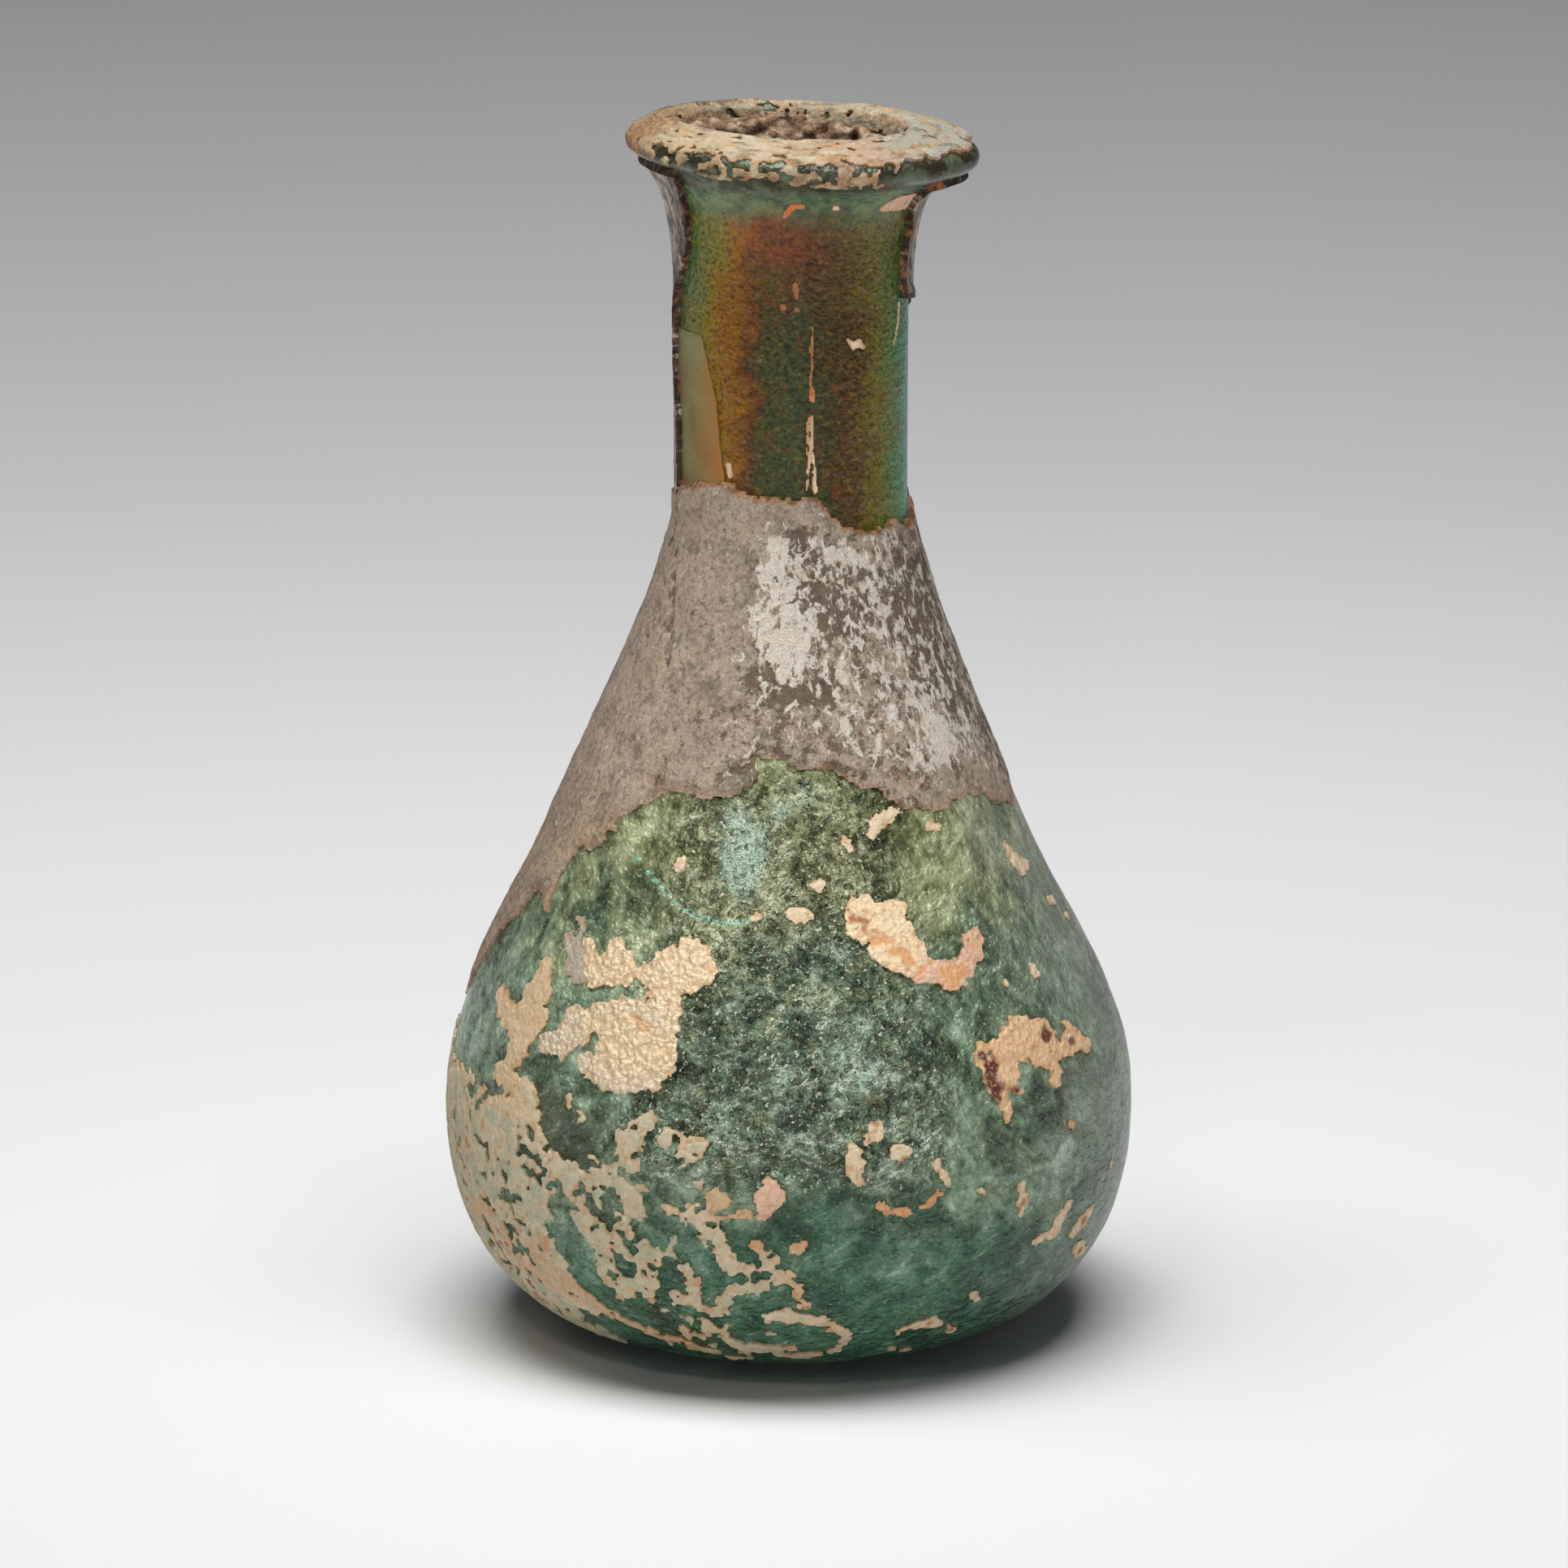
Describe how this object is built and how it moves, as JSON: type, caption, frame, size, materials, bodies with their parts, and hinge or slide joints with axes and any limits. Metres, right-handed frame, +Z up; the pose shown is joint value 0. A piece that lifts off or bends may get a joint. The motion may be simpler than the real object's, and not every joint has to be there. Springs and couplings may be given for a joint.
{
  "type": "glass unguentarium",
  "caption": "Free-blown pear-shaped glass flask for scented oil, hollow, with a straight neck and a folded lip, under a weathered crust and a flaking skin.",
  "frame": {"origin": "centre of the box that holds the flask, at the bottom, on the surface it stands on", "axes": "+Z up along the neck, -Y the front where the skin has come off the neck, +X to the right of the front"},
  "size_m": [0.057, 0.0566, 0.1011],
  "materials": {
    "glass": "dark green free-blown glass, pitted, glossy, clouded by burial, amber to teal iridescence on the neck",
    "crust": "matte grey-brown mineral crust with cream mottling",
    "skin": "cream to gilt pearly flakes and peeling skin of weathered glass",
    "soil": "crumbly tan burial soil inside the mouth"
  },
  "bodies": {
    "root": {"flask": "glass"}
  },
  "joints": []
}
